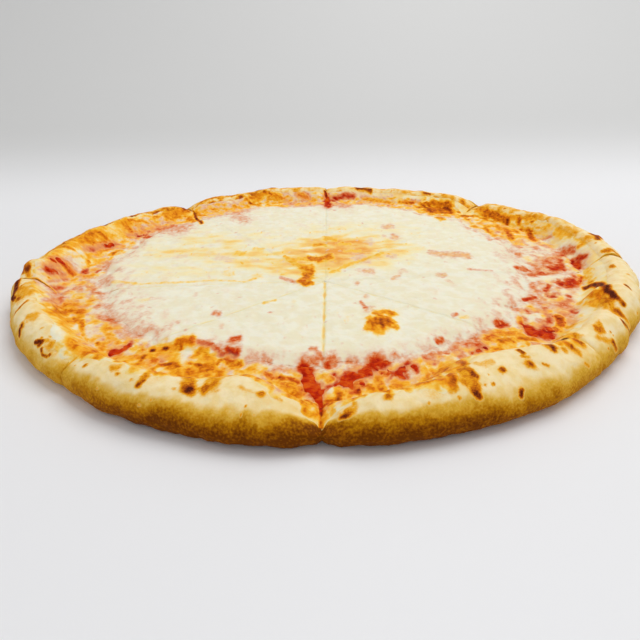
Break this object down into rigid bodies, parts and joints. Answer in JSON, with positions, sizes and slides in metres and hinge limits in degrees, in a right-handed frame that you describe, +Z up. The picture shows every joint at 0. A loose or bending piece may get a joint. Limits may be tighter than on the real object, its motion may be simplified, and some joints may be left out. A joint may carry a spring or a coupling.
{
  "type": "cheese pizza",
  "caption": "Round baked cheese pizza with a puffed blistered rim, tomato sauce and melted cheese, cut into slices that lie together.",
  "frame": {"origin": "centre of the pizza's box at the height of the surface it rests on", "axes": "+Z up, -Y towards the viewer of the picture, +X to the viewer's right"},
  "size_m": [0.3448, 0.3364, 0.0214],
  "materials": {
    "crust": "matte",
    "sauce": "satin",
    "cheese": "satin"
  },
  "bodies": {
    "root": {"crust_1": "crust", "crust_2": "crust", "crust_3": "crust", "crust_4": "crust", "crust_5": "crust", "crust_6": "crust", "crust_7": "crust", "crust_8": "crust", "sauce_1": "sauce", "sauce_2": "sauce", "sauce_3": "sauce", "sauce_4": "sauce", "sauce_5": "sauce", "sauce_6": "sauce", "sauce_7": "sauce", "sauce_8": "sauce", "cheese_1": "cheese", "cheese_2": "cheese", "cheese_3": "cheese", "cheese_4": "cheese", "cheese_5": "cheese", "cheese_6": "cheese", "cheese_7": "cheese", "cheese_8": "cheese"}
  },
  "joints": []
}
